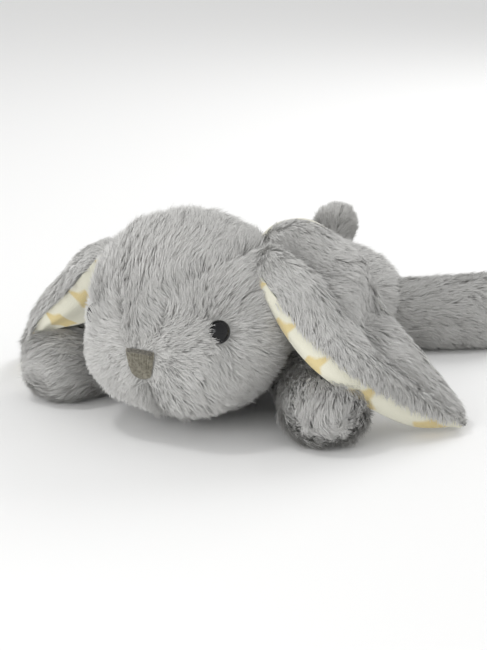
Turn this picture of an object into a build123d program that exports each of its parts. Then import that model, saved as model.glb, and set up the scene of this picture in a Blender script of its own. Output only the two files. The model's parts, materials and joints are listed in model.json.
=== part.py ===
from build123d import *
from math import asin, cos, pi, sin
import os

os.makedirs("parts", exist_ok=True)

# A plush lop-eared rabbit that lies flat on its belly. It faces -Y, +X is its own left and +Z is up.
# The solids are the sewn cloth without its fur. All lengths are in mm and all angles in degrees.

# Cloth and clearances
cloth = 2.5                       # a fur panel: backing and the pressed root of the pile
turning_gap = 0.5                 # room round everything that turns at a sewn root
ear_fur_cloth = 2.2               # the ear's outer layer
ear_lining_cloth = 1.4            # the ear's pale lining

# Head
head_centre = Vector(0, -80, 54)
head_semi = Vector(50, 54, 53)    # half width, half depth, half height
lobe_centre = Vector(17, -106, 37)
lobe_radius = 25.0                # one of the two lobes of the muzzle
nape_centre = Vector(0, -62, 50)  # the head nods about a lateral axis through this point
nape_radius = 44.0
gusset_bottom = 36.0              # below this height the side panels meet in the mouth cleft
gusset_edge = [(13, -140), (20, -118), (31, -96), (36, -76), (30, -50), (16, -10)]  # from above

# Nose and eyes
nose_height = 18.0
nose_top_width = 16.0
nose_bottom_width = 10.0
nose_middle = 45.0                # height of the nose's middle above the floor
stitch_depth = 1.2
eye_out = Vector(36, -36.3, 9)    # from the head's centre to the middle of the left eye
eye_radius = 6.0
eye_dome = 4.6
shank_radius = 2.0
shank_length = 11.0
washer_radius = 7.0
washer_thickness = 1.2
washer_depth = 3.2                # from the cloth's outside to the washer's near face

# Torso
torso_half_width = 53.0
torso_half_height = 31.0
torso_middle = 30.0               # height of its widest line
torso_rear = 119.0
neck_plane = -42.0
side_seam = 20.0                  # the belly panel lies below this height
torso_outline = [                 # share of the half width, distance along the back
    (0.34, 112),
    (0.70, 95),
    (1.00, 62),
    (0.93, 15),
    (0.82, -15),
    (0.50, neck_plane),
]

# Legs: every leg is a tapered bag with a round root and a round paw, both on the side seam
front_root = Vector(46, -30, side_seam)
front_paw = Vector(77, -87, side_seam)
hind_root = Vector(45, 84, side_seam)
hind_paw = Vector(92, 115.4, side_seam)
front_radii = (15.0, 19.5)        # root, paw
hind_radii = (18.0, 19.8)

# Tail
tail_root = Vector(0, 100, 56)
tail_root_radius = 8.0
tail_puff = Vector(0, 106, 68)
tail_puff_radius = 12.5

# Ears: a leaf cut from a crowned sheet that hangs from the head's upper side to the floor
ear_root = Vector(40, -73, 89)    # a point on the left ear's hinge line, which runs along Y
ear_tip = Vector(138, -34, 5)
ear_up = Vector(0.687, -0.307, 0.659)
ear_plane = Plane(origin=ear_root, x_dir=ear_tip - ear_root, z_dir=ear_up)
ear_front_edge = [(-4, -19), (12, -33), (38, -42), (67, -47), (96, -36), (120, -17), (135, 0)]
ear_back_edge = [(135, 0), (127, 20), (104, 35), (76, 42), (46, 42), (20, 34), (4, 17)]
ear_crest_line = -12.0            # where across the ear the sheet stands highest
ear_reach = 40.0                  # distance from the crest line over which the droops are given
ear_front_droop = 7.0
ear_back_droop = 13.0
ear_stations = [                  # along the ear, height of the crest, tilt of the sheet across it
    (-12, -4.0, -0.33),
    (12, 5.0, -0.27),
    (36, 13.0, -0.10),
    (62, 18.0, 0.0),
    (90, 15.0, 0.0),
    (116, 5.0, 0.0),
    (145, -1.0, 0.0),
]
ear_columns = [-58, -40, -24, -8, 8, 26, 50]

# Care label, blank
label_width = 12.0
label_rear = 130.0
label_thickness = 0.6


def ellipsoid(centre, semi):
    """A solid ellipsoid: a unit ball, stretched and then put in its place."""
    with BuildPart() as ball:
        Sphere(1)
        scale(by=(semi.X, semi.Y, semi.Z))
    return ball.part.moved(Location(centre))


def head_form(inset):
    """The head's outside moved inwards: a puffy ball, two muzzle lobes and the round nape."""
    with BuildPart() as form:
        add(ellipsoid(head_centre, head_semi - Vector(inset, inset, inset)))
        with Locations(lobe_centre, Vector(-lobe_centre.X, lobe_centre.Y, lobe_centre.Z)):
            Sphere(lobe_radius - inset)
        with Locations(nape_centre):
            Sphere(nape_radius - inset)
    return form.part


def torso_form(inset):
    """The torso's outside moved inwards: a flattened pod with a flat belly."""
    width = torso_half_width - inset
    with BuildPart() as pod:
        with BuildSketch():
            with BuildLine():
                sides = [(share * width, along) for share, along in torso_outline]
                Spline((0, torso_rear - inset), *sides, tangents=[(1, 0), (-0.75, -1)])
                Line(sides[-1], (0, neck_plane))
                Line((0, neck_plane), (0, torso_rear - inset))
            make_face()
        revolve(axis=Axis.Y)
        scale(by=(1, 1, (torso_half_height - inset) / width))
    with BuildPart() as form:
        add(pod.part.moved(Location((0, 0, torso_middle))))
        split(bisect_by=Plane.XY.offset(inset), keep=Keep.TOP)
    return form.part


def bag_form(root, end, root_radius, end_radius, grow):
    """Two balls joined by the cone that touches both, made larger all over by grow."""
    along = end - root
    run = along.length
    root_r = root_radius + grow
    end_r = end_radius + grow
    lean = asin((root_r - end_r) / run)
    across = along.cross(Vector(0, 0, 1))
    with BuildPart() as form:
        with BuildSketch(Plane(origin=root, x_dir=along, z_dir=across)):
            with BuildLine():
                Line((-root_r, 0), (run + end_r, 0))
                ThreePointArc(
                    (run + end_r, 0),
                    (run + end_r * sin(pi / 4), end_r * cos(pi / 4)),
                    (run + end_r * sin(lean), end_r * cos(lean)),
                )
                Line(
                    (run + end_r * sin(lean), end_r * cos(lean)),
                    (root_r * sin(lean), root_r * cos(lean)),
                )
                ThreePointArc(
                    (root_r * sin(lean), root_r * cos(lean)),
                    (-root_r * sin(pi / 4), root_r * cos(pi / 4)),
                    (-root_r, 0),
                )
            make_face()
        revolve(axis=Axis(root, along))
    return form.part


def block(low, high):
    """A box between two corners, used to part a cover along its seams."""
    with BuildPart() as box:
        with Locations((low + high) / 2):
            Box(high.X - low.X, high.Y - low.Y, high.Z - low.Z)
    return box.part


def write(part, name):
    """Labels a finished piece and writes its STEP file."""
    part.label = name
    export_step(part, f"parts/{name}.step")


def write_mirrored(part, name):
    """Writes the other side's piece, mirrored in the toy's middle plane."""
    with BuildPart() as other:
        mirror(part, about=Plane.YZ)
    write(other.part, name)


far = 300.0
left_half = block(Vector(0, -far, -far), Vector(far, far, far))

# ---- Head -------------------------------------------------------------------------------
head_outside = head_form(0)
head_inside = head_form(cloth)

with BuildPart() as gusset_zone:
    with BuildSketch(Plane.XY.offset(gusset_bottom)):
        with BuildLine():
            Spline(*gusset_edge)
            mirror(about=Plane.YZ)
            for x, y in (gusset_edge[0], gusset_edge[-1]):
                Line((-x, y), (x, y))
        make_face()
    extrude(amount=far)

eye_normal = Vector(
    eye_out.X / head_semi.X**2, eye_out.Y / head_semi.Y**2, eye_out.Z / head_semi.Z**2
).normalized()
eye_spot = head_centre + eye_out
eye_side = eye_normal.cross(Vector(0, 0, 1)).normalized()

rim_floor = -0.4                  # the eye's back, pressed into the cloth
rim_top = 0.3                     # where the straight rim ends and the dome begins
dome_rise = eye_dome - rim_top
dome_ball = (eye_radius**2 + dome_rise**2) / (2 * dome_rise)
dome_middle = asin(eye_radius / dome_ball) / 2

with BuildPart() as eye_left:
    with BuildSketch(Plane(origin=eye_spot, x_dir=eye_normal, z_dir=eye_side)):
        with BuildLine():
            Polyline(
                (eye_dome, 0),
                (-shank_length, 0),
                (-shank_length, shank_radius),
                (rim_floor, shank_radius),
                (rim_floor, eye_radius),
                (rim_top, eye_radius),
            )
            ThreePointArc(
                (rim_top, eye_radius),
                (eye_dome - dome_ball * (1 - cos(dome_middle)), dome_ball * sin(dome_middle)),
                (eye_dome, 0),
            )
        make_face()
    revolve(axis=Axis(eye_spot, eye_normal))
write(eye_left.part, "eye_left")
write_mirrored(eye_left.part, "eye_right")

with BuildPart() as eye_washer_left:
    with BuildSketch(Plane(origin=eye_spot - eye_normal * washer_depth, z_dir=-eye_normal)):
        Circle(washer_radius)
        Circle(shank_radius + 0.05, mode=Mode.SUBTRACT)
    extrude(amount=washer_thickness)
write(eye_washer_left.part, "eye_washer_left")
write_mirrored(eye_washer_left.part, "eye_washer_right")

with BuildPart() as eye_seat:
    with BuildSketch(Plane(origin=eye_spot + eye_normal * rim_floor, z_dir=eye_normal)):
        Circle(eye_radius + 0.05)
    extrude(amount=2 * cloth)
    with BuildSketch(Plane(origin=eye_spot, z_dir=-eye_normal)):
        Circle(shank_radius + 0.05)
    extrude(amount=2 * cloth)

with BuildPart() as head_side_left:
    add(head_outside)
    add(head_inside, mode=Mode.SUBTRACT)
    add(left_half, mode=Mode.INTERSECT)
    add(gusset_zone.part, mode=Mode.SUBTRACT)
    add(eye_seat.part, mode=Mode.SUBTRACT)
write(head_side_left.part, "head_side_left")
write_mirrored(head_side_left.part, "head_side_right")

with BuildPart() as head_gusset:
    add(head_outside)
    add(head_inside, mode=Mode.SUBTRACT)
    add(gusset_zone.part, mode=Mode.INTERSECT)
write(head_gusset.part, "head_gusset")

with BuildPart() as eye_room:
    with BuildSketch(Plane(origin=eye_spot, z_dir=-eye_normal)):
        Circle(washer_radius + 0.2)
    extrude(amount=washer_depth + washer_thickness + 0.2)
    with BuildSketch(Plane(origin=eye_spot, z_dir=-eye_normal)):
        Circle(shank_radius + 0.2)
    extrude(amount=shank_length + 0.2)
    mirror(about=Plane.YZ)

with BuildPart() as head_stuffing:
    add(head_inside)
    add(eye_room.part, mode=Mode.SUBTRACT)
write(head_stuffing.part, "head_stuffing")

with BuildPart() as nose:
    add(head_form(-stitch_depth))
    add(head_outside, mode=Mode.SUBTRACT)
    with BuildSketch(Plane.XZ.offset(-head_centre.Y)):
        with BuildLine():
            Polyline(
                (-nose_top_width / 2, nose_middle + nose_height / 2),
                (nose_top_width / 2, nose_middle + nose_height / 2),
                (nose_bottom_width / 2, nose_middle - nose_height / 2),
                (-nose_bottom_width / 2, nose_middle - nose_height / 2),
                close=True,
            )
        make_face()
    extrude(amount=2 * head_semi.Y, mode=Mode.INTERSECT)
write(nose.part, "nose")

# ---- Ears -------------------------------------------------------------------------------
def ear_height(crest, tilt, y):
    """Height of the ear's sheet above its own plane at a distance y from the middle line."""
    droop = ear_front_droop if y < ear_crest_line else ear_back_droop
    return crest + tilt * y - droop * ((y - ear_crest_line) / ear_reach) ** 2


def ear_layer(thickness):
    """One layer of the left ear: the crowned sheet made thick and cut to the leaf's outline."""
    rows = [
        [ear_plane.from_local_coords(Vector(x, y, ear_height(crest, tilt, y))) for y in ear_columns]
        for x, crest, tilt in ear_stations
    ]
    with BuildPart() as layer:
        thicken(Face.make_surface_from_array_of_points(rows), amount=thickness)
        with BuildSketch(ear_plane.offset(-60)):
            with BuildLine():
                Spline(*ear_front_edge)
                Spline(*ear_back_edge)
                Line(ear_back_edge[-1], ear_front_edge[0])
            make_face()
        extrude(amount=120, mode=Mode.INTERSECT)
    return layer.part


ear_outer = ear_layer(ear_fur_cloth)
write(ear_outer, "ear_outer_left")
write_mirrored(ear_outer, "ear_outer_right")
ear_lining = ear_layer(-ear_lining_cloth)
write(ear_lining, "ear_lining_left")
write_mirrored(ear_lining, "ear_lining_right")

# ---- Torso ------------------------------------------------------------------------------
torso_outside = torso_form(0)
torso_inside = torso_form(cloth)

with BuildPart() as torso_pockets:
    with Locations(front_root):
        Sphere(front_radii[0] + turning_gap)
    with Locations(hind_root):
        Sphere(hind_radii[0] + turning_gap)
    mirror(about=Plane.YZ)
    with Locations(nape_centre):
        Sphere(nape_radius + turning_gap)
    with Locations(tail_root):
        Sphere(tail_root_radius + turning_gap)

with BuildPart() as torso_cover:
    add(torso_outside)
    add(torso_inside, mode=Mode.SUBTRACT)
    add(torso_pockets.part, mode=Mode.SUBTRACT)

below_seam = block(Vector(-far, -far, -far), Vector(far, far, side_seam))
with BuildPart() as belly_panel:
    add(torso_cover.part)
    add(below_seam, mode=Mode.INTERSECT)
write(belly_panel.part, "belly_panel")

with BuildPart() as back_panel_left:
    add(torso_cover.part)
    add(left_half, mode=Mode.INTERSECT)
    add(below_seam, mode=Mode.SUBTRACT)
write(back_panel_left.part, "back_panel_left")
write_mirrored(back_panel_left.part, "back_panel_right")

with BuildPart() as torso_stuffing:
    add(torso_inside)
    add(torso_pockets.part, mode=Mode.SUBTRACT)
write(torso_stuffing.part, "torso_stuffing")

with BuildPart() as care_label:
    label_front = torso_rear - 10
    with Locations((0, (label_front + label_rear) / 2, side_seam)):
        Box(label_width, label_rear - label_front, label_thickness)
    add(torso_outside, mode=Mode.SUBTRACT)
write(care_label.part, "care_label")

# ---- Legs -------------------------------------------------------------------------------
for leg, root, paw, radii in (
    ("front_leg", front_root, front_paw, front_radii),
    ("hind_leg", hind_root, hind_paw, hind_radii),
):
    outside = bag_form(root, paw, radii[0], radii[1], 0)
    inside = bag_form(root, paw, radii[0], radii[1], -cloth)
    with BuildPart() as leg_top:
        add(outside)
        add(inside, mode=Mode.SUBTRACT)
        split(bisect_by=Plane.XY.offset(side_seam), keep=Keep.TOP)
    with BuildPart() as leg_under:
        add(outside)
        add(inside, mode=Mode.SUBTRACT)
        split(bisect_by=Plane.XY.offset(side_seam), keep=Keep.BOTTOM)
    write(leg_top.part, f"{leg}_left_top")
    write_mirrored(leg_top.part, f"{leg}_right_top")
    write(leg_under.part, f"{leg}_left_under")
    write_mirrored(leg_under.part, f"{leg}_right_under")
    write(inside, f"{leg}_left_stuffing")
    write_mirrored(inside, f"{leg}_right_stuffing")

# ---- Tail -------------------------------------------------------------------------------
tail_inside = bag_form(tail_root, tail_puff, tail_root_radius, tail_puff_radius, -cloth)
with BuildPart() as tail_cover:
    add(bag_form(tail_root, tail_puff, tail_root_radius, tail_puff_radius, 0))
    add(tail_inside, mode=Mode.SUBTRACT)
write(tail_cover.part, "tail_cover")
write(tail_inside, "tail_stuffing")
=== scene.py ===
"""A grey lop-eared plush rabbit that lies on its belly, dressed over its CAD frame.

The toy faces -Y, +X is its own left and +Z is up. Lengths are in millimetres and are turned into
metres when a mesh is made; what goes straight to Blender, such as a lamp's place, is in metres.
"""

import json
import math

import bmesh
import bpy
import numpy as np
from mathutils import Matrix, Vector
from mathutils.kdtree import KDTree


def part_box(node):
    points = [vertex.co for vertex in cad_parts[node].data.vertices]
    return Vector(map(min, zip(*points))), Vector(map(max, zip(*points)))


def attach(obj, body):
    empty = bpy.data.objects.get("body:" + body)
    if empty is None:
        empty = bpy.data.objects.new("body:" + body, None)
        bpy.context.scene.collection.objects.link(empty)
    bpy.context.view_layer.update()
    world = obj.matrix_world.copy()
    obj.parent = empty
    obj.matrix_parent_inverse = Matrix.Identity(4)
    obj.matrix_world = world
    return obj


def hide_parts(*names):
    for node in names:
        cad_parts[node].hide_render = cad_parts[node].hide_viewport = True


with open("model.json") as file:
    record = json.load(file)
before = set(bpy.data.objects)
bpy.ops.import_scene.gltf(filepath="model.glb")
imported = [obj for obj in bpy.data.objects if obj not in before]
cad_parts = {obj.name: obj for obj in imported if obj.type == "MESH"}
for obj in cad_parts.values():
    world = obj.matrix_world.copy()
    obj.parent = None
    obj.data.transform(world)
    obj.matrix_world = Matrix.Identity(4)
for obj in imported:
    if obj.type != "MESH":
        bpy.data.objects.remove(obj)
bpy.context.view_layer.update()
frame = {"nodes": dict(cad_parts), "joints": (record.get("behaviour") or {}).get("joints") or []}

MM = 0.001
SIDES = {"left": 1.0, "right": -1.0}
rng = np.random.default_rng(20)


def node_box(name):
    """A CAD node's lowest and highest corners, in mm."""
    low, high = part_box(name)
    return np.array(low) / MM, np.array(high) / MM


def joint(name):
    """The point that a joint turns about."""
    for j in frame["joints"]:
        if j["name"] == name:
            return np.array(j["pos_m"]) / MM
    raise KeyError(name)


# ---- Materials ----------------------------------------------------------------------------------


SHEEN_ROUGHNESS = 0.4
SPECULAR = 0.25


def new_material(name, colour, roughness, sheen=0.0):
    """A Principled material with plain numbers on the shader's own sockets."""
    mat = bpy.data.materials.new(name)
    mat.use_nodes = True
    shader = mat.node_tree.nodes["Principled BSDF"]
    shader.inputs["Base Color"].default_value = (*colour, 1)
    shader.inputs["Roughness"].default_value = roughness
    shader.inputs["Sheen Weight"].default_value = sheen
    shader.inputs["Sheen Roughness"].default_value = SHEEN_ROUGHNESS
    shader.inputs["Sheen Tint"].default_value = (1, 1, 1, 1)
    shader.inputs["Specular IOR Level"].default_value = SPECULAR
    return mat


def noise(tree, scale, detail):
    """A noise texture in the object's own metres."""
    place = tree.nodes.new("ShaderNodeTexCoord")
    tex = tree.nodes.new("ShaderNodeTexNoise")
    tex.inputs["Scale"].default_value = scale
    tex.inputs["Detail"].default_value = detail
    tree.links.new(place.outputs["Object"], tex.inputs["Vector"])
    return tex.outputs["Fac"]


def two_tone(mat, fac, low, high, start=0.35, end=0.65):
    """Lets a factor run the base colour from one tone to another."""
    tree = mat.node_tree
    ramp = tree.nodes.new("ShaderNodeValToRGB")
    ramp.color_ramp.elements[0].position = start
    ramp.color_ramp.elements[0].color = (*low, 1)
    ramp.color_ramp.elements[1].position = end
    ramp.color_ramp.elements[1].color = (*high, 1)
    tree.links.new(fac, ramp.inputs["Fac"])
    tree.links.new(ramp.outputs["Color"], tree.nodes["Principled BSDF"].inputs["Base Color"])


def bumps(mat, fac, distance, strength=0.6):
    """Adds a bump from a factor."""
    tree = mat.node_tree
    bump = tree.nodes.new("ShaderNodeBump")
    bump.inputs["Strength"].default_value = strength
    bump.inputs["Distance"].default_value = distance
    tree.links.new(fac, bump.inputs["Height"])
    tree.links.new(bump.outputs["Normal"], tree.nodes["Principled BSDF"].inputs["Normal"])


# The pile has two tones for the blades' roots and four for their tips. The roots' tones are darker:
# painted shade deep in the pile.
FUR_TIPS = [
    (0.565, 0.561, 0.546),
    (0.59, 0.586, 0.571),
    (0.615, 0.611, 0.595),
    (0.645, 0.641, 0.624),
]
FUR_SHADED_ROOTS = [(0.525, 0.521, 0.506), (0.56, 0.556, 0.541)]
CREAM = (0.73, 0.715, 0.60)
OCHRE = (0.68, 0.565, 0.30)

fur_materials = [new_material(f"fur_shaded_root_{i}", c, 0.9) for i, c in enumerate(FUR_SHADED_ROOTS)]
fur_materials += [new_material(f"fur_tip_{i}", c, 0.7) for i, c in enumerate(FUR_TIPS)]


def backing_material():
    """The knitted cloth that the pile grows from, its tones painted darker than the pile's as shade
    under the pile.
    """
    mat = new_material("fur_backing", FUR_SHADED_ROOTS[0], 0.95)
    # Tones darker than the pile's: painted shade under the pile.
    two_tone(mat, noise(mat.node_tree, 220, 4), (0.40, 0.397, 0.385), (0.48, 0.476, 0.462))
    bumps(mat, noise(mat.node_tree, 1400, 3), 0.0004)
    return mat


def fibre_material():
    """White polyester fibre filling."""
    mat = new_material("fibre_filling", (0.85, 0.85, 0.83), 0.95)
    two_tone(mat, noise(mat.node_tree, 160, 5), (0.70, 0.70, 0.68), (0.88, 0.88, 0.86))
    bumps(mat, noise(mat.node_tree, 500, 5), 0.001)
    return mat


STAR_PATCHINESS = 0.25         # how unevenly the stars' ink took


def lining_material():
    """Cream velour with printed ochre stars, read from the sheet's own star value."""
    mat = new_material("star_velour", (0.80, 0.77, 0.66), 0.95, sheen=0.35)
    tree = mat.node_tree
    printed = tree.nodes.new("ShaderNodeAttribute")
    printed.attribute_name = "star"
    patch = tree.nodes.new("ShaderNodeMath")
    patch.operation = "MULTIPLY_ADD"
    patch.inputs[1].default_value = STAR_PATCHINESS
    tree.links.new(noise(tree, 900, 3), patch.inputs[0])
    tree.links.new(printed.outputs["Fac"], patch.inputs[2])
    two_tone(mat, patch.outputs["Value"], CREAM, OCHRE, 0.45, 0.85)
    bumps(mat, noise(tree, 1500, 3), 0.0005)
    return mat


def thread_material(name, dark, light):
    """Shiny embroidery thread with its twist showing."""
    mat = new_material(name, light, 0.45, sheen=0.3)
    two_tone(mat, noise(mat.node_tree, 700, 2), dark, light)
    bumps(mat, noise(mat.node_tree, 2500, 2), 0.0001)
    return mat


EYE_SPECULAR = 0.3


def eye_material():
    """Glossy black moulded plastic."""
    mat = new_material("eye_gloss", (0.006, 0.006, 0.007), 0.12)
    shader = mat.node_tree.nodes["Principled BSDF"]
    shader.inputs["Specular IOR Level"].default_value = EYE_SPECULAR
    bumps(mat, noise(mat.node_tree, 120, 1), 0.00005, 0.2)
    return mat


def washer_material():
    """Milky moulded plastic."""
    mat = new_material("washer_milky", (0.75, 0.75, 0.72), 0.5)
    two_tone(mat, noise(mat.node_tree, 250, 2), (0.68, 0.68, 0.65), (0.78, 0.78, 0.76))
    return mat


def label_material():
    """White satin tape with a fine weave."""
    mat = new_material("label_tape", (0.85, 0.85, 0.83), 0.4, sheen=0.2)
    tree = mat.node_tree
    place = tree.nodes.new("ShaderNodeTexCoord")
    weave = tree.nodes.new("ShaderNodeTexWave")
    weave.inputs["Scale"].default_value = 900
    weave.inputs["Distortion"].default_value = 0.5
    tree.links.new(place.outputs["Object"], weave.inputs["Vector"])
    two_tone(mat, weave.outputs["Fac"], (0.76, 0.76, 0.74), (0.88, 0.88, 0.86), 0.2, 0.8)
    bumps(mat, weave.outputs["Fac"], 0.0001)
    return mat


fur_backing = backing_material()
fibre_filling = fibre_material()
lining_cloth = lining_material()
nose_thread = thread_material("nose_thread", (0.13, 0.12, 0.09), (0.24, 0.225, 0.18))
nose_edge_thread = thread_material("nose_edge_thread", (0.08, 0.075, 0.065), (0.16, 0.15, 0.125))
eye_plastic = eye_material()
washer_plastic = washer_material()
label_tape = label_material()

# ---- Forms: a signed distance for each stuffed part, in mm ----------------------------------------


def smooth_min(a, b, reach):
    """Two distances joined with a soft fillet."""
    h = np.clip(0.5 + 0.5 * (b - a) / reach, 0, 1)
    return b * (1 - h) + a * h - reach * h * (1 - h)


def bump_at(x, middle, width):
    """A bell, 1 at its middle."""
    return np.exp(-(((x - middle) / width) ** 2))


def rise_over(x, start, end):
    """A smooth step from 0 to 1."""
    t = np.clip((x - start) / (end - start), 0, 1)
    return t * t * (3 - 2 * t)


def ellipsoid(p, centre, semi):
    """Near-distance to an ellipsoid."""
    q = (p - np.array(centre)) / np.array(semi)
    k0 = np.linalg.norm(q, axis=1)
    k1 = np.linalg.norm(q / np.array(semi), axis=1)
    return k0 * (k0 - 1) / np.maximum(k1, 1e-9)


def tapered_bag(p, root, end, root_r, end_r):
    """Distance to a bag with a round root and a round end."""
    along = end - root
    share = np.clip(((p - root) @ along) / (along @ along), 0, 1)
    return np.linalg.norm(p - root - share[:, None] * along, axis=1) - (
        root_r + (end_r - root_r) * share
    )


def ripple(p, wave, seed):
    """A smooth, seeded wobble between about -1 and 1."""
    draw = np.random.default_rng(seed)
    total = np.zeros(len(p))
    for _ in range(6):
        way = draw.normal(size=3)
        way *= 2 * math.pi / (wave * np.linalg.norm(way) * draw.uniform(0.7, 1.4))
        total += np.sin(p @ way + draw.uniform(0, 2 * math.pi))
    return total / 3.0


def groove(distance, depth, width):
    """How far a sewn seam pulls the cloth in at a distance from it."""
    return depth * np.exp(-((distance / width) ** 2))


# The head
NOSE = np.array([0.0, -134.0, 46.0])
HEAD_CENTRE = np.array([0.0, -80.0, 54.0])
HEAD_SEMI = np.array([50.0, 54.0, 55.5])
CHIN_SHARE = 0.84              # the height of the skull's lower half, as a share of the upper half's
LOBE = (17, -106, 42.5)        # the left lobe of the muzzle
LOBE_RADIUS = 23
LOBE_FILLET = 4.5
CROWN = (25, -76, 73)          # the skull's fullness under the left ear; the right side mirrors it
CROWN_RADIUS = 22
CROWN_FILLET = 14
NAPE = (0, -62, 54)
NAPE_RADIUS = 43
NAPE_FILLET = 6
GUSSET_BOTTOM = 36.0
GUSSET_HALF = [7, 9, 22, 32, 38, 30, 16]          # half width of the head's middle panel ...
GUSSET_ALONG = [-145, -132, -117, -98, -76, -50, -10]  # ... at these places along the head
GUSSET_GROOVE = (0.9, 2.4)     # depth and width of the seams along it
MOUTH_GROOVE = (6.5, 3.8)      # depth and width of the cleft under the nose
MOUTH_BACK = -92               # where the cleft ends under the chin

# The torso
RUMP = ((0, 70, 29), (53, 50, 32))     # centre and half sizes
CHEST = ((0, 8, 28), (47, 56, 30))
WAIST_FILLET = 18
BACK_GROOVE = (1.5, 3.5)
SIDE_GROOVE = (1.2, 3.0)
SIDE_SEAM = 20                 # height of the seam round the belly panel

# The legs and the tail
LEG_ROOT = {"front_leg": 15.0, "hind_leg": 18.0}
LEG_GROOVE = (0.7, 2.2)
PAW_SHIFT = (1.0, 6.0, -1.0)   # the front paws lie a little outwards, back and down
PAW_SQUASH = np.array([1.08, 1.0, 0.93])   # and are pressed a little wider and lower
TAIL_ROOT = 8.0
TAIL_SINK = 2.5                # the puff sits this much lower than its CAD cover, and is smaller
TAIL_TRIM = 1.5

FLOOR_GAP = 0.4                # nothing comes nearer to the floor

# Each cover's middle, rough half sizes and the cuts of its mesh
HEAD_WRAP = ((0, -82, 52), (50, 54, 52), 60)
TORSO_WRAP = ((0, 38, 28), (52, 82, 30), 52)
TAIL_WRAP = ((0, 104, 65), (12, 12, 15), 16)
LEG_CUTS = 30


def past_gusset(p):
    """How far a point lies outside the head's middle panel, seen from above."""
    return np.abs(p[:, 0]) - np.interp(p[:, 1], GUSSET_ALONG, GUSSET_HALF)


def head_field(p):
    """A full skull, two muzzle lobes with the mouth between them, the nape and the crown."""
    low = np.where(p[:, 2] < HEAD_CENTRE[2], 1 / CHIN_SHARE, 1)
    q = (p - HEAD_CENTRE) * np.stack([np.ones(len(p)), np.ones(len(p)), low], 1)
    d = ellipsoid(q, (0, 0, 0), HEAD_SEMI)
    for side in SIDES.values():
        lobe = np.linalg.norm(p - (side * LOBE[0], *LOBE[1:]), axis=1) - LOBE_RADIUS
        d = smooth_min(d, lobe, LOBE_FILLET)
    d = smooth_min(d, np.linalg.norm(p - NAPE, axis=1) - NAPE_RADIUS, NAPE_FILLET)
    crown = np.stack([np.abs(p[:, 0]), p[:, 1], p[:, 2]], 1) - CROWN
    d = smooth_min(d, np.linalg.norm(crown, axis=1) - CROWN_RADIUS, CROWN_FILLET)
    below = np.clip((GUSSET_BOTTOM + 2 - p[:, 2]) / 6, 0, 1)
    front = np.clip((MOUTH_BACK - p[:, 1]) / 12, 0, 1)
    d += groove(np.abs(p[:, 0]), *MOUTH_GROOVE) * below * front
    above = np.clip((p[:, 2] - GUSSET_BOTTOM) / 8, 0, 1)
    d += groove(past_gusset(p), *GUSSET_GROOVE) * above
    return d + 0.6 * ripple(p, 34, 3)


def torso_field(p):
    """Rump and chest, drawn in at the seams."""
    d = smooth_min(ellipsoid(p, *RUMP), ellipsoid(p, *CHEST), WAIST_FILLET)
    above = np.clip((p[:, 2] - 30) / 12, 0, 1)
    d += groove(np.abs(p[:, 0]), *BACK_GROOVE) * above
    d += groove(p[:, 2] - SIDE_SEAM, *SIDE_GROOVE)
    return d + 0.9 * ripple(p, 38, 5)


def leg_field(name, side):
    """A stuffed leg: its root on the joint, its paw at the end of the CAD cover."""
    pivot = joint(f"{name}_{side}_swing")
    low, high = node_box(f"{name}_{side}_top")
    radius = high[2] - low[2]
    sign = SIDES[side]
    front = name == "front_leg"
    paw = np.array([(high[0] if sign > 0 else low[0]) - sign * radius, 0, low[2]])
    paw[1] = low[1] + radius if front else high[1] - radius
    if front:
        paw += np.array(PAW_SHIFT) * (sign, 1, 1)
    squash = PAW_SQUASH if front else np.ones(3)

    def field(p):
        d = tapered_bag(paw + (p - paw) / squash, pivot, paw, LEG_ROOT[name], radius)
        return d + 0.5 * ripple(p, 26, 9) + groove(p[:, 2] - low[2], *LEG_GROOVE)

    return field, pivot, paw, radius


def tail_field(p):
    """A round puff on a short root."""
    low, high = node_box("tail_cover")
    puff = (high[0] - low[0]) / 2
    middle = np.array([0, high[1] - puff, high[2] - puff - TAIL_SINK])
    d = tapered_bag(p, joint("tail_wag"), middle, TAIL_ROOT, puff - TAIL_TRIM)
    return d + 0.4 * ripple(p, 14, 12)


def on_floor(field):
    """The same form, pressed flat where it rests."""

    def pressed(p):
        return np.maximum(field(p), FLOOR_GAP - p[:, 2])

    return pressed


# ---- Meshes ---------------------------------------------------------------------------------------


def ball_mesh(cuts):
    """A ball of even quads, as points and faces."""
    bm = bmesh.new()
    bmesh.ops.create_cube(bm, size=2)
    bmesh.ops.subdivide_edges(bm, edges=bm.edges[:], cuts=cuts, use_grid_fill=True)
    points = np.array([v.co for v in bm.verts])
    faces = np.array([[v.index for v in f.verts] for f in bm.faces])
    bm.free()
    points = np.tan(points * (math.pi / 4) * 0.98)
    return points / np.linalg.norm(points, axis=1)[:, None], faces


def wrap(field, centre, semi, cuts):
    """A closed skin on a form that is seen whole from its centre."""
    way, faces = ball_mesh(cuts)
    way = way * np.array(semi)
    way /= np.linalg.norm(way, axis=1)[:, None]
    centre = np.array(centre, float)
    near = np.zeros(len(way))
    far = np.full(len(way), 2.2 * max(semi))
    for _ in range(26):
        middle = (near + far) / 2
        inside = field(centre + way * middle[:, None]) < 0
        near = np.where(inside, middle, near)
        far = np.where(inside, far, middle)
    return centre + way * near[:, None], faces


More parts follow.
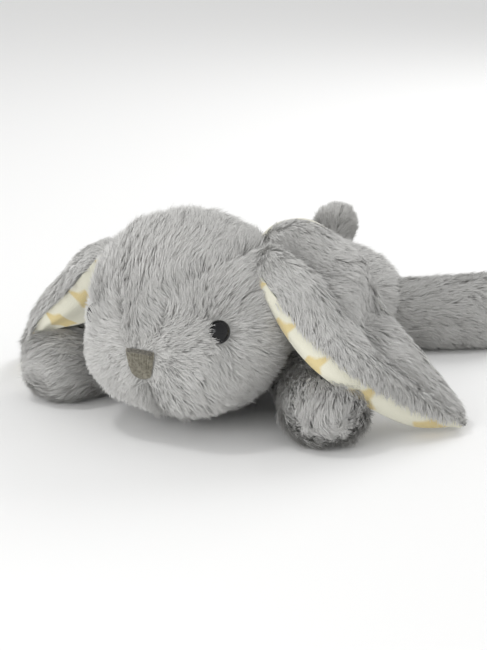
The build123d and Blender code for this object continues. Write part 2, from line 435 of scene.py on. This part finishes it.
def mesh_from(name, points, faces, materials, slots=None, smooth=True):
    """A Blender object from points in mm and faces of one or two sizes."""
    mesh = bpy.data.meshes.new(name)
    sizes = np.concatenate([np.full(len(f), f.shape[1]) for f in faces])
    corners = np.concatenate([f.ravel() for f in faces])
    mesh.vertices.add(len(points))
    mesh.vertices.foreach_set("co", (points * MM).astype(np.float32).ravel())
    mesh.loops.add(len(corners))
    mesh.loops.foreach_set("vertex_index", corners.astype(np.int32))
    mesh.polygons.add(len(sizes))
    starts = np.concatenate([[0], np.cumsum(sizes)[:-1]])
    mesh.polygons.foreach_set("loop_start", starts.astype(np.int32))
    for mat in materials:
        mesh.materials.append(mat)
    if slots is not None:
        mesh.polygons.foreach_set("material_index", slots.astype(np.int32))
    mesh.update(calc_edges=True)
    mesh.validate()
    if smooth:
        mesh.shade_smooth()
    obj = bpy.data.objects.new(name, mesh)
    bpy.context.scene.collection.objects.link(obj)
    return obj


def normals_of(points, faces):
    """Unit normals at the points of a quad mesh."""
    a, b, c, d = (points[faces[:, i]] for i in range(4))
    face_normal = np.cross(c - a, d - b)
    total = np.zeros_like(points)
    for i in range(4):
        np.add.at(total, faces[:, i], face_normal)
    return total / np.maximum(np.linalg.norm(total, axis=1)[:, None], 1e-12)


def scatter(points, faces, normals, per_mm2, draw):
    """Random spots on a quad mesh, evenly by area, with their normals."""
    tri = np.concatenate([faces[:, [0, 1, 2]], faces[:, [0, 2, 3]]])
    a, b, c = (points[tri[:, i]] for i in range(3))
    area = np.linalg.norm(np.cross(b - a, c - a), axis=1) / 2
    count = int(area.sum() * per_mm2)
    pick = draw.choice(len(tri), count, p=area / area.sum())
    u, v = draw.random(count), draw.random(count)
    fold = u + v > 1
    u[fold], v[fold] = 1 - u[fold], 1 - v[fold]
    w = 1 - u - v
    spot = a[pick] * w[:, None] + b[pick] * u[:, None] + c[pick] * v[:, None]
    n = sum(normals[tri[pick, i]] * k[:, None] for i, k in enumerate((w, u, v)))
    return spot, n / np.linalg.norm(n, axis=1)[:, None]


def unit(v):
    """Vectors at length 1."""
    return v / np.maximum(np.linalg.norm(v, axis=1)[:, None], 1e-9)


def nearest(points, centres):
    """For each point, the index of the nearest centre."""
    tree = KDTree(len(centres))
    for i, centre in enumerate(centres):
        tree.insert(centre, i)
    tree.balance()
    return np.array([tree.find(p)[1] for p in points])


LOCK_SHARE = 0.14      # locks per tuft
LOCK_PULL = 0.10       # how far a lock's tufts lean together at their tips
BLADES = 7             # blades per tuft
BLADE_WIDTH = 0.38
TUFT_SPREAD = 1.15     # how far apart a tuft's blades start
LIFT = 0.42            # how steeply the pile stands: 0 lies flat
STEEPEST = 0.75
TONE_WAVE = 30.0       # size of the broad patches of tone
TONE_PATCHES = 0.4     # and their strength


def blades(spots, normals, comb, length, draw, lift):
    """Tufts of tapered, bent blades: points, quads, triangles, and a tone for each blade.

    Each tuft's blades start apart and come together at their tips, and the tufts of a lock lean
    together, as brushed pile does.
    """
    along = unit(comb - normals * (comb * normals).sum(1)[:, None])
    across = np.cross(normals, along)
    heads = draw.choice(len(spots), max(1, int(len(spots) * LOCK_SHARE)), replace=False)
    lock = nearest(spots, spots[heads])
    turn = draw.normal(0, 0.14, len(spots)) + draw.normal(0, 0.12, len(heads))[lock]
    along = along * np.cos(turn)[:, None] + across * np.sin(turn)[:, None]
    across = np.cross(normals, along)
    long = length * draw.uniform(0.85, 1.1, len(spots))
    long *= draw.uniform(0.92, 1.08, len(heads))[lock]
    rise = np.minimum(lift, STEEPEST) * draw.uniform(0.85, 1.15, len(spots))
    rise *= draw.uniform(0.92, 1.08, len(heads))[lock]
    end = spots + along * (long * np.sqrt(1 - rise**2))[:, None] + normals * (long * rise)[:, None]
    end += (end[heads][lock] - end) * LOCK_PULL
    tone = draw.normal(0, 0.38, len(heads))[lock] + draw.normal(0, 0.32, len(spots))

    spots, normals, along, across, end, long = (
        np.repeat(x, BLADES, axis=0) for x in (spots, normals, along, across, end, long)
    )
    count = len(spots)
    off = draw.normal(0, TUFT_SPREAD, (count, 2))
    aside = along * off[:, :1] + across * off[:, 1:]
    root = spots + aside - normals * 0.5
    stray = draw.normal(0, 0.055, (count, 3)) * long[:, None]
    tip = root + (end + aside * 0.55 - root) * draw.uniform(0.72, 1.05, count)[:, None] + stray
    middle = root * 0.5 + tip * 0.5 + normals * (0.12 * long)[:, None]
    twist = draw.normal(0, 0.3, count)
    flat = across * np.cos(twist)[:, None] + normals * np.sin(twist)[:, None]
    half = flat * (BLADE_WIDTH * draw.uniform(0.7, 1.2, count) / 2)[:, None]
    points = np.stack([root - half, root + half, middle + half * 0.9, middle - half * 0.9, tip], 1)
    points[:, :, 2] = np.maximum(points[:, :, 2], FLOOR_GAP)
    base = np.arange(count)[:, None] * 5
    quads = base + np.array([[0, 1, 2, 3]])
    tips = base + np.array([[3, 2, 4]])
    tone = np.repeat(tone, BLADES) + draw.normal(0, 0.3, count)
    return points.reshape(-1, 3), quads, tips, tone


def turn_out(points, quads, tips, cloth_normals):
    """Turns every blade's front side away from the cloth."""
    across, up = points[quads[:, 2]] - points[quads[:, 0]], points[quads[:, 3]] - points[quads[:, 1]]
    back = (np.cross(across, up) * cloth_normals).sum(1) < 0
    quads[back], tips[back] = quads[back][:, ::-1], tips[back][:, ::-1]


def grow(name, body, spots, normals, comb, length, draw, lift):
    """A pile piece that rides on a body: its blades' tones come from the fur's materials."""
    points, quads, tips, tone = blades(spots, normals, comb, length, draw, lift)
    turn_out(points, quads, tips, np.repeat(normals, BLADES, axis=0))
    tone += ripple(points[tips[:, 2]], TONE_WAVE, 77) * TONE_PATCHES
    lightest = len(FUR_TIPS) - 1
    tip_slot = np.clip(np.round(lightest / 2 + tone), 0, lightest).astype(int) + len(FUR_SHADED_ROOTS)
    # The lower half of each blade takes a darker root tone, painted shade deep in the pile.
    root_slot = (tone > 0).astype(int)
    slots = np.concatenate([root_slot, tip_slot])
    obj = mesh_from(name, points, [quads, tips], fur_materials, slots)
    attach(obj, body)
    return obj


# ---- Sewn covers ----------------------------------------------------------------------------------

CLOTH = 2.0            # thickness of the fur's backing
SLACK = 0.8            # between a cover and its filling
TUFTS = 0.48           # tufts per square mm


def panel(name, points, faces, body, node):
    """One sewn panel of a cover: a thick cloth piece that stands for its CAD node."""
    used, inverse = np.unique(faces, return_inverse=True)
    obj = mesh_from(name, points[used], [inverse.reshape(faces.shape)], [fur_backing])
    thick = obj.modifiers.new("cloth", "SOLIDIFY")
    thick.thickness = CLOTH * MM
    thick.offset = -1
    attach(obj, body)
    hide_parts(node)
    return obj


def filling(name, points, faces, normals, body, node):
    """The stuffing inside a cover."""
    obj = mesh_from(name, points - normals * (CLOTH + SLACK), [faces], [fibre_filling])
    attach(obj, body)
    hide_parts(node)
    return obj


def sewn(body, skin, panels, stuffing, comb, length, draw, density=TUFTS, keep=None, lift=None):
    """A stuffed part: its panels, their pile and its filling.

    panels maps a CAD node's name to a test of points, and comb, length, keep and lift are functions
    of points: the way the pile lies, its length, where it grows and how steeply it stands.
    """
    points, faces = skin
    normals = normals_of(points, faces)
    middles = points[faces].mean(1)
    for node, inside in panels.items():
        panel(f"{node}_cloth", points, faces[inside(middles)], body, node)
    filling(f"{stuffing}_fill", points, faces, normals, body, stuffing)
    spots, n = scatter(points, faces, normals, density, draw)
    if keep is not None:
        stay = keep(spots)
        spots, n = spots[stay], n[stay]
    way = comb(spots)
    long = length(spots)
    rise = lift(spots) if lift else np.full(len(spots), LIFT)
    for node, inside in panels.items():
        on = inside(spots)
        grow(f"{node}_pile", body, spots[on], n[on], way[on], long[on], draw, lift=rise[on])


def even(value):
    """The same value at every point."""
    return lambda p: np.full(len(p), value)


def swirl(p, wave, seed, strength):
    """A smooth, seeded wandering of the pile's way."""
    return strength * np.stack([ripple(p, wave, seed + i) for i in range(3)], 1)


# ---- Head -----------------------------------------------------------------------------------------


def eye_spot(side):
    """The middle of an eye."""
    low, high = node_box(f"eye_{side}")
    return (low + high) / 2


def gusset_test(p):
    """Whether a point is on the head's middle panel."""
    return (past_gusset(p) < 0) & (p[:, 2] > GUSSET_BOTTOM)


EYES = {side: eye_spot(side) for side in SIDES}
EYE_CLEARING = 7.3             # no pile grows nearer to an eye's middle
EYE_INNER_PILE = {"left": -0.22, "right": 0.55}   # the pile's gain in length between eye and nose
EYE_REACH = 11                 # how far an eye changes the pile round it
NAPE_BACK = -30                # behind this and under NAPE_TOP the torso hides the head
NAPE_TOP = 50


EYE_BRUSH = 24                 # how far the pile is brushed away from an eye
EYE_BRUSH_PULL = 1.6
CHEEK_TOP = 66                 # under this height the cheeks' pile begins to fall
PARTING = 7                    # half width of the parting along each of the gusset's seams
PARTING_PULL = 0.4


def head_comb(p):
    """Pile brushed away from the nose and the eyes, parted at the seams, falling on the cheeks."""
    way = unit(p - NOSE - np.array([0, 12, 0]))
    for eye in EYES.values():
        away = p - eye
        near = bump_at(np.linalg.norm(away, axis=1), 0, EYE_BRUSH)
        past = rise_over((unit(away) * unit(p - NOSE)).sum(1), -0.7, 0.1)
        way += unit(away) * (EYE_BRUSH_PULL * near * past)[:, None]
    cheek = np.clip((CHEEK_TOP - p[:, 2]) / 50, 0, 1)
    way += np.array([0, 0.1, -0.7]) * cheek[:, None]
    seam = bump_at(past_gusset(p), 0, PARTING) * rise_over(p[:, 2], 50, 64)
    way[:, 0] += np.sign(p[:, 0]) * np.sign(past_gusset(p)) * PARTING_PULL * seam
    return way + swirl(p, 30, 21, 0.3)


def nose_half(z):
    """Half the width of the nose at a height: 0 above and below it."""
    low, high = node_box("nose")
    share = (z - low[2]) / (high[2] - low[2])
    half = np.interp(share, [0, 0.12, 0.5, 0.85, 1], [2.5, 4.8, 6.6, 7.8, 7.4])
    return np.where((share > 0) & (share < 1), half, 0)


def head_length(p):
    """Short round the nose, full on the cheeks."""
    far = np.linalg.norm(p - NOSE, axis=1)
    length = np.interp(far, [8, 14, 26, 50, 90], [3.6, 5.5, 8.5, 10.0, 11.0])
    for side, eye in EYES.items():
        near = bump_at(np.linalg.norm(p - eye, axis=1), 0, EYE_REACH)
        inner = rise_over(np.abs(eye[0]) - p[:, 0] * SIDES[side], 0, 6)
        length *= 1 - 0.45 * near + EYE_INNER_PILE[side] * near * inner
    return length


def head_lift(p):
    """The pile stands up round the eyes, so that they sit in it."""
    lift = np.full(len(p), LIFT)
    for eye in EYES.values():
        lift += 0.33 * bump_at(np.linalg.norm(p - eye, axis=1), 0, EYE_REACH)
    return lift


def head_keep(p):
    """No pile under the nose's stitches, under the eyes or where the torso hides the head."""
    clear = ~((np.abs(p[:, 0]) < nose_half(p[:, 2]) + 0.9) & (p[:, 1] < -110))
    for eye in EYES.values():
        clear &= np.linalg.norm(p - eye, axis=1) > EYE_CLEARING
    return clear & ((p[:, 1] < NAPE_BACK) | (p[:, 2] > NAPE_TOP))


def build_head():
    """The head: a middle panel between two sides."""
    sewn(
        "head",
        wrap(on_floor(head_field), *HEAD_WRAP),
        {
            "head_gusset": gusset_test,
            "head_side_left": lambda p: ~gusset_test(p) & (p[:, 0] >= 0),
            "head_side_right": lambda p: ~gusset_test(p) & (p[:, 0] < 0),
        },
        "head_stuffing",
        head_comb,
        head_length,
        rng,
        keep=head_keep,
        lift=head_lift,
    )


# ---- Torso, legs and tail --------------------------------------------------------------------------

TORSO_PILE = 10.5              # lengths of the pile
LEG_PILE = 9.5
TAIL_PILE = 6.0
TAIL_TUFTS = 0.7
TAIL_LIFT = 0.6
NECK = -36.0                   # the head hides the torso in front of this
RESTING = {"torso": 3, "leg": 2}   # no pile grows nearer to the floor


def torso_comb(p):
    """Pile brushed to the rear and down both sides."""
    way = np.tile([0.0, 1.0, 0.0], (len(p), 1))
    way[:, 0] += np.sign(p[:, 0]) * 0.35
    way[:, 2] -= 0.35
    return way + swirl(p, 34, 31, 0.35)


def build_torso():
    """The torso: two back panels over a belly panel."""
    sewn(
        "torso",
        wrap(on_floor(torso_field), *TORSO_WRAP),
        {
            "belly_panel": lambda p: p[:, 2] < SIDE_SEAM,
            "back_panel_left": lambda p: (p[:, 2] >= SIDE_SEAM) & (p[:, 0] >= 0),
            "back_panel_right": lambda p: (p[:, 2] >= SIDE_SEAM) & (p[:, 0] < 0),
        },
        "torso_stuffing",
        torso_comb,
        even(TORSO_PILE),
        rng,
        keep=lambda p: (p[:, 1] > NECK) & (p[:, 2] > RESTING["torso"]),
    )


def build_leg(name, side):
    """A leg: a top and an under panel, with the pile brushed towards the paw."""
    field, pivot, paw, radius = leg_field(name, side)
    along = (paw - pivot) / np.linalg.norm(paw - pivot)
    reach = np.linalg.norm(paw - pivot) / 2 + radius
    semi = np.abs(along) * (reach - radius) + radius
    seam = pivot[2]

    def comb(p):
        return along + np.array([0, 0, -0.25]) + swirl(p, 24, 41, 0.35)

    sewn(
        f"{name}_{side}",
        wrap(on_floor(field), (paw + pivot) / 2, semi, LEG_CUTS),
        {
            f"{name}_{side}_top": lambda p: p[:, 2] >= seam,
            f"{name}_{side}_under": lambda p: p[:, 2] < seam,
        },
        f"{name}_{side}_stuffing",
        comb,
        even(LEG_PILE),
        rng,
        keep=lambda p: (p[:, 2] > RESTING["leg"]) & ((p - pivot) @ along > -4),
    )


def build_tail():
    """The tail: one cover, with the pile brushed away from its root."""
    pivot = joint("tail_wag")

    def comb(p):
        return (p - pivot) + np.array([0, 4.0, 0.0])

    sewn(
        "tail",
        wrap(tail_field, *TAIL_WRAP),
        {"tail_cover": even(True)},
        "tail_stuffing",
        comb,
        even(TAIL_PILE),
        rng,
        density=TAIL_TUFTS,
        lift=even(TAIL_LIFT),
    )


# ---- Ears -----------------------------------------------------------------------------------------

# An ear's edges from its root, tucked into the head's seam, to its tip: the seam between the fur and
# the lining along the front, the lowest line of the padded lip under it, and the back edge. The two
# ears hang a little differently. All are given for a left ear, and the right one is mirrored in X.
EAR_SEAM = [
    (35, -84, 87), (44, -91, 90), (56, -93, 78.5), (68, -92, 65.5), (80, -90, 55),
    (92, -85.5, 44), (106, -72.5, 31), (122, -53, 15.5), (138, -35, 5),
]
EAR_LIP = {
    "left": [
        (35, -86, 85), (42, -93, 88), (51, -94, 75), (61, -95, 60), (73, -97, 49),
        (86, -96, 39.5), (101, -83.5, 25.5), (118, -56, 8), (137, -35, 4),
    ],
    "right": [
        (35, -86, 85), (40, -90, 82), (46, -90, 67), (54, -90, 52), (68, -94, 44),
        (84, -97, 40), (101, -84, 27), (118, -56, 9), (137, -35, 4),
    ],
}
EAR_BACK = {
    "left": [
        (27, -60, 93), (36, -52, 103), (50, -40, 104), (64, -29, 90), (76, -20, 67),
        (87, -16, 48), (103, -14, 31), (121, -18, 15), (138, -33, 5),
    ],
    "right": [
        (30, -63, 82), (40, -52, 89), (49, -37, 86), (61, -25, 76), (74, -19, 60),
        (87, -16, 46), (103, -14, 30), (121, -18, 15), (138, -33, 5),
    ],
}
# How high the fur side arches over the leaf between its edges, from root to tip
EAR_CROWN = {"left": [2, 11, 15, 15, 12, 9, 7, 4, 0], "right": [0, 3, 7, 10, 11, 9, 7, 4, 0]}
LIP_ACROSS = {                 # where across the ear the lip swells, and by what share of its size
    "left": ([0, 0.03, 0.08, 0.14, 0.24, 0.4, 1], [0, 0.45, 0.95, 1.0, 0.6, 0, 0]),
    "right": ([0, 0.05, 0.16, 0.26, 0.40, 0.6, 1], [0, 0.30, 0.85, 1.0, 0.7, 0, 0]),
}
EAR_UP = np.array([0.69, -0.31, 0.66])
BOWL = (0.24, 0.57)            # along and across the ear: the hollow behind its root
BOWL_DEPTH = {"left": 22.0, "right": 6.0}
EAR_LINING_GAP = 3.0           # between the fur side and the lining
LIP_FULLNESS = 1.1
FRONT_OUT = np.array([-0.25, -0.85, -0.1])
FRONT_ROLL = 2.6               # how far the lining rolls out past the front edge
BACK_OUT = np.array([0.15, 0.55, 0.8])
BACK_ROLL = 1.3                # and past the back edge near the root
EAR_PILE_LIFT = 0.33


def curve(values, t):
    """A smooth curve through evenly spaced values (Catmull-Rom)."""
    values = np.array(values, float)
    if values.ndim == 1:
        values = values[:, None]
    ends = np.vstack([2 * values[0] - values[1], values, 2 * values[-1] - values[-2]])
    x = np.clip(t, 0, 1) * (len(values) - 1)
    i = np.minimum(x.astype(int), len(values) - 2)
    f = (x - i)[:, None]
    a, b, c, d = (ends[i + j] for j in range(4))
    return b + 0.5 * f * (c - a + f * (2 * a - 5 * b + 4 * c - d + f * (3 * (b - c) + d - a)))


def ear_height(u, v, side):
    """How high the ear's fur side stands over the flat leaf between its edges."""
    arch = 1 - np.abs(2 * v - 1) ** 2.8
    h = curve(EAR_CROWN[side], u)[:, 0] * arch
    # The hollow behind the root, with a swelling in front of it and a ridge past it
    h -= BOWL_DEPTH[side] * bump_at(u, BOWL[0], 0.16) * bump_at(v, BOWL[1], 0.22)
    h += 4.0 * bump_at(u, 0.24, 0.14) * bump_at(v, 0.20, 0.09)
    h += 4.0 * bump_at(u, 0.43, 0.05) * rise_over(v, 0.25, 0.6) * rise_over(-v, -1.0, -0.85)
    # A dent across the back half, half way to the tip
    h -= 8.5 * bump_at(u, 0.55, 0.06) * rise_over(v, 0.3, 0.6) * rise_over(-v, -1.0, -0.8)
    # A long crease behind the front edge, which is a little fuller
    lane = 0.30 + 0.10 * u
    h -= 4.5 * bump_at(v, lane, 0.07) * rise_over(u, 0.3, 0.45) * rise_over(-u, -0.95, -0.8)
    h += 1.5 * bump_at(v, 0.14, 0.08) * rise_over(u, 0.2, 0.4)
    return h


def ear_fur_side(u, v, side):
    """The fur side: u runs from the root to the tip and v from the front edge to the back one."""
    leaf = curve(EAR_SEAM, u) * (1 - v[:, None]) + curve(EAR_BACK[side], u) * v[:, None]
    p = leaf + EAR_UP * ear_height(u, v, side)[:, None]
    p += EAR_UP * (0.7 * ripple(p, 30, 61) * np.sin(np.pi * v))[:, None]
    p[:, 0] *= SIDES[side]
    return p


def ear_lining_side(u, v, side):
    """The pale side: it follows the fur side at a distance, but swells to a padded lip in front."""
    leaf = curve(EAR_SEAM, u) * (1 - v[:, None]) + curve(EAR_BACK[side], u) * v[:, None]
    h = ear_height(u, v, side) * rise_over(v, 0.06, 0.5)
    h -= EAR_LINING_GAP * (1 - np.abs(2 * v - 1) ** 8) + 0.5
    lip = (curve(EAR_LIP[side], u) - curve(EAR_SEAM, u)) * LIP_FULLNESS
    swell = np.interp(v, *LIP_ACROSS[side])
    forward = bump_at(v, 0.045, 0.04) * rise_over(u, 0.08, 0.25) * rise_over(-u, -1.0, -0.85)
    p = leaf + EAR_UP * h[:, None] + lip * swell[:, None]
    p += FRONT_OUT * (FRONT_ROLL * forward)[:, None]
    rim = bump_at(v, 1.0, 0.05) * rise_over(u, 0.05, 0.15) * rise_over(-u, -0.45, -0.3)
    p += BACK_OUT * (BACK_ROLL * rim)[:, None]
    p[:, 0] *= SIDES[side]
    return p


def ear_grid(surface, side, rows, columns, crowd=1.0):
    """A sheet of quads over the ear; crowd above 1 draws the columns towards the front edge."""
    line = np.linspace(0, 1, columns) ** crowd
    u, v = (g.ravel() for g in np.meshgrid(np.linspace(0, 1, rows), line, indexing="ij"))
    index = np.arange(rows * columns).reshape(rows, columns)
    faces = np.stack([index[:-1, :-1], index[1:, :-1], index[1:, 1:], index[:-1, 1:]], -1)
    faces = faces.reshape(-1, 4)
    if side == "right":
        faces = faces[:, ::-1]
    return surface(u, v, side), faces, u, v


EAR_LAYERS = {"outer": 2.0, "lining": 1.2}     # thickness of each layer's cloth


def ear_sheet(name, points, faces, side, layer, material):
    """One layer of an ear, a soft sheet that hangs from the head and rests on the cheek and paw."""
    obj = mesh_from(name, points, [faces], [material])
    thick = obj.modifiers.new("cloth", "SOLIDIFY")
    thick.thickness = EAR_LAYERS[layer] * MM
    thick.offset = -1
    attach(obj, f"ear_{side}")
    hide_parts(f"ear_{layer}_{side}")
    return obj


EAR_PRINT = (158, 85)          # about the leaf's length and width: the stars are set out over it
STAR_SHIFT = 7                 # how far the grid of stars is moved across the leaf
STAR_STEP = 29.0               # distance between the lining's printed stars
STAR_RADIUS = 8.0
STAR_WAIST = 0.66              # the inner corners' share of the radius
STAR_BLUR = 3.6                # width of a star's soft edge in the velour


def star_print(s, t):
    """1 inside five-pointed stars on a staggered grid, each turned its own way, 0 outside."""
    row = np.round(t / STAR_STEP)
    column = np.round(s / STAR_STEP - 0.5 * (row % 2))
    x = s - (column + 0.5 * (row % 2)) * STAR_STEP
    y = t - row * STAR_STEP
    half = np.pi / 5
    angle = (np.arctan2(y, x) + 1.3 * column + 2.1 * row) % (2 * half)
    angle = np.minimum(angle, 2 * half - angle)
    notch = STAR_WAIST * STAR_RADIUS
    side = STAR_RADIUS * np.sin(angle) + notch * np.sin(half - angle)
    edge = STAR_RADIUS * notch * np.sin(half) / side
    return np.clip((edge - np.hypot(x, y)) / STAR_BLUR + 0.5, 0, 1)


def from_line(points, line):
    """How far each point is from a line's points."""
    return np.min(np.linalg.norm(points[:, None] - line[None], axis=2), axis=1)


def ear_comb(spots, tip, side):
    """The way and the length of an ear's pile: brushed to the tip, and over the front edge."""
    root = joint(f"ear_{side}_lift")
    way = (tip - root) / np.linalg.norm(tip - root)
    mirror = (SIDES[side], 1, 1)
    gap = from_line(spots, curve(EAR_SEAM, np.linspace(0, 1, 60)) * mirror)
    rim_gap = from_line(spots, curve(EAR_BACK[side], np.linspace(0.04, 0.4, 30)) * mirror)
    from_root = np.linalg.norm(spots - root, axis=1)
    from_tip = np.linalg.norm(spots - tip, axis=1)
    hang = bump_at(gap, 0, 9) * rise_over(from_root, 16, 40)
    overhang = np.array([-0.2 * SIDES[side], -0.9, -0.5]) * hang[:, None]
    comb = way + 1.2 * overhang + swirl(spots, 26, 51, 0.3)
    length = np.interp(gap, [0, 12], [5.5, 8.5]) * np.interp(rim_gap, [0, 9], [0.4, 1])
    length *= np.interp(from_root, [10, 30], [0.65, 1]) * np.interp(from_tip, [2, 14], [0.45, 1])
    bowl = ear_fur_side(np.array([BOWL[0]]), np.array([BOWL[1]]), side)
    length *= 1 - 0.4 * bump_at(np.linalg.norm(spots - bowl, axis=1), 0, 15)
    return comb, length


def build_ear(side):
    """An ear: a fur sheet with its pile, over a printed lining."""
    points, faces, _, _ = ear_grid(ear_fur_side, side, rows=96, columns=64)
    normals = normals_of(points, faces)
    ear_sheet(f"ear_outer_{side}_cloth", points, faces, side, "outer", fur_backing)

    under, under_faces, u, v = ear_grid(ear_lining_side, side, rows=180, columns=130, crowd=1.35)
    lining = ear_sheet(
        f"ear_lining_{side}_cloth", under, under_faces[:, ::-1], side, "lining", lining_cloth
    )
    printed = lining.data.attributes.new("star", "FLOAT", "POINT")
    stars = star_print(u * EAR_PRINT[0], v * EAR_PRINT[1] - STAR_SHIFT)
    printed.data.foreach_set("value", stars.astype(np.float32))

    spots, n = scatter(points, faces, normals, TUFTS * 1.15, rng)
    comb, length = ear_comb(spots, points[-1], side)
    grow(f"ear_outer_{side}_pile", f"ear_{side}", spots, n, comb, length, rng, EAR_PILE_LIFT)


# ---- Face -----------------------------------------------------------------------------------------


def on_head(x, z, lift):
    """Points on the head's front at given places across and up, raised off the cloth."""
    near, far = np.full(len(x), HEAD_CENTRE[1]), np.full(len(x), HEAD_CENTRE[1] - 80)
    for _ in range(26):
        middle = (near + far) / 2
        inside = head_field(np.stack([x, middle, z], 1)) < 0
        near, far = np.where(inside, middle, near), np.where(inside, far, middle)
    return np.stack([x, near - lift, z], 1)


THREAD_RADIUS = 0.42
THREAD_SIDES = 6
THREAD_END = 0.15              # a thread's ends are this share of its radius


def thread(path):
    """A round thread along a path, drawn in at its ends: points and quads."""
    sides = THREAD_SIDES
    ahead = unit(np.gradient(path, axis=0))
    out = np.tile([0.0, -1.0, 0.0], (len(path), 1))
    out = unit(out - ahead * (out * ahead).sum(1)[:, None])
    aside = np.cross(ahead, out)
    angle = np.arange(sides) * 2 * math.pi / sides
    ring = aside[:, None] * np.cos(angle)[:, None] + out[:, None] * np.sin(angle)[:, None]
    swell = np.full(len(path), THREAD_RADIUS)
    swell[[0, -1]] *= THREAD_END
    points = (path[:, None] + ring * swell[:, None, None]).reshape(-1, 3)
    i, j = np.meshgrid(np.arange(len(path) - 1), np.arange(sides), indexing="ij")
    j2 = (j + 1) % sides
    quads = np.stack([i * sides + j, (i + 1) * sides + j, (i + 1) * sides + j2, i * sides + j2], -1)
    return points, quads.reshape(-1, 4)


def join_parts(parts):
    """Several point-and-quad pieces as one."""
    points, faces, start = [], [], 0
    for p, f in parts:
        points.append(p)
        faces.append(f + start)
        start += len(p)
    return np.concatenate(points), np.concatenate(faces)


def embroidery(name, threads, material):
    """Threads as one object that rides on the head."""
    points, quads = join_parts(threads)
    obj = mesh_from(name, points, [quads], [material])
    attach(obj, "head")
    return obj


NOSE_THREADS = 22
NOSE_MARGIN = 0.6              # between the stitches' ends and the nose's edge
NOSE_POINT = 2.4               # how much higher the outer stitches end than the middle ones
EDGE_THREADS = 3
EDGE_HALF = 7.6                # half the length of the threads that cross the top
EDGE_STEP = 0.75
EDGE_SAG = 0.012               # how much they bend down towards their ends


def build_nose():
    """Satin stitches, side by side and top to bottom, under a row that crosses their top ends."""
    low, high = node_box("nose")
    top, bottom = high[2] - NOSE_MARGIN, low[2] + NOSE_MARGIN
    parts = []
    for i in range(NOSE_THREADS):
        share = 2 * i / (NOSE_THREADS - 1) - 1
        z = np.linspace(top, bottom + NOSE_POINT * share**2, 16) + rng.normal(0, 0.15)
        x = share * nose_half(np.clip(z, low[2] + 0.3, high[2] - 0.3)) + rng.normal(0, 0.05)
        parts.append(thread(on_head(x, z, 0.9 + rng.uniform(-0.1, 0.15))))
    stitches = embroidery("nose_stitches", parts, nose_thread)
    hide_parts("nose")
    parts = []
    for row in range(EDGE_THREADS):
        x = np.linspace(-EDGE_HALF, EDGE_HALF, 18)
        z = top + 0.3 - EDGE_STEP * row - EDGE_SAG * x**2
        parts.append(thread(on_head(x, z, 1.2)))
    edge = embroidery("nose_edge_stitches", parts, nose_edge_thread)


def dress_node(name, material):
    """A better material for a CAD node whose shape is right."""
    mesh = frame["nodes"][name].data
    mesh.materials.clear()
    mesh.materials.append(material)


def build_hard_parts():
    """The eyes, their washers and the label keep the shapes of their CAD nodes."""
    for side in SIDES:
        dress_node(f"eye_{side}", eye_plastic)
        dress_node(f"eye_washer_{side}", washer_plastic)
    dress_node("care_label", label_tape)


# ---- Stage ----------------------------------------------------------------------------------------


WALLS = (1.0, 1.0, 1.0)
CEILING = (0.68, 0.68, 0.68)
PAPER = (0.84, 0.84, 0.835)
FLOOR_HALF = 6000.0
LAMPS = [                      # name, place and size in metres, power in watts
    ("key", (-0.2, -1.2, 0.5), 0.7, 4.5),
    ("back", (0.25, 1.0, 0.8), 0.9, 6.0),
    ("catchlight", (-0.35, -0.42, 1.15), 0.2, 2.5),
]
LAMP_TARGET = (0, 0, 0.05)
AZIMUTH = math.radians(27)     # the camera stands this far round to the toy's own left
ELEVATION = math.radians(17)
DISTANCE = 0.9
SPAN = 0.345                   # the height of the view at that distance
SENSOR = 36
TARGET = (0.022, -0.062, 0.050)


def build_floor():
    """Pale paper that the toy lies on."""
    corners = [[-1, -1, 0], [1, -1, 0], [1, 1, 0], [-1, 1, 0]]
    floor = mesh_from(
        "floor",
        np.array(corners) * FLOOR_HALF,
        [np.array([[0, 1, 2, 3]])],
        [new_material("floor_paper", PAPER, 0.9)],
        smooth=False,
    )


def build_world():
    """A white studio with a dimmer ceiling."""
    bpy.context.scene.view_settings.view_transform = "Standard"
    world = bpy.data.worlds.new("studio")
    bpy.context.scene.world = world
    world.use_nodes = True
    tree = world.node_tree
    place = tree.nodes.new("ShaderNodeTexCoord")
    height = tree.nodes.new("ShaderNodeSeparateXYZ")
    tree.links.new(place.outputs["Generated"], height.inputs["Vector"])
    ramp = tree.nodes.new("ShaderNodeValToRGB")
    ramp.color_ramp.elements[0].color = (*WALLS, 1)
    ramp.color_ramp.elements[1].color = (*CEILING, 1)
    tree.links.new(height.outputs["Z"], ramp.inputs["Fac"])
    tree.links.new(ramp.outputs["Color"], tree.nodes["Background"].inputs["Color"])


def build_lamp(name, place, size, power):
    """A round, soft lamp that points at the toy."""
    light = bpy.data.lights.new(name, "AREA")
    light.shape = "DISK"
    light.size = size
    light.energy = power
    lamp = bpy.data.objects.new(name, light)
    lamp.location = place
    lamp.rotation_euler = (Vector(LAMP_TARGET) - Vector(place)).to_track_quat("-Z", "Y").to_euler()
    bpy.context.scene.collection.objects.link(lamp)


def build_camera():
    """The photo's view."""
    level = math.cos(ELEVATION)
    look = Vector((-math.sin(AZIMUTH) * level, math.cos(AZIMUTH) * level, -math.sin(ELEVATION)))
    camera = bpy.data.cameras.new("camera")
    camera.sensor_width = SENSOR
    camera.lens = SENSOR * DISTANCE / SPAN
    eye = bpy.data.objects.new("camera", camera)
    eye.location = Vector(TARGET) - look * DISTANCE
    eye.rotation_euler = look.to_track_quat("-Z", "Y").to_euler()
    bpy.context.scene.collection.objects.link(eye)
    bpy.context.scene.camera = eye


build_floor()
build_world()
for lamp_settings in LAMPS:
    build_lamp(*lamp_settings)
build_camera()
build_head()
build_torso()
for leg_name in ("front_leg", "hind_leg"):
    for leg_side in SIDES:
        build_leg(leg_name, leg_side)
build_tail()
for ear_side in SIDES:
    build_ear(ear_side)
build_nose()
build_hard_parts()
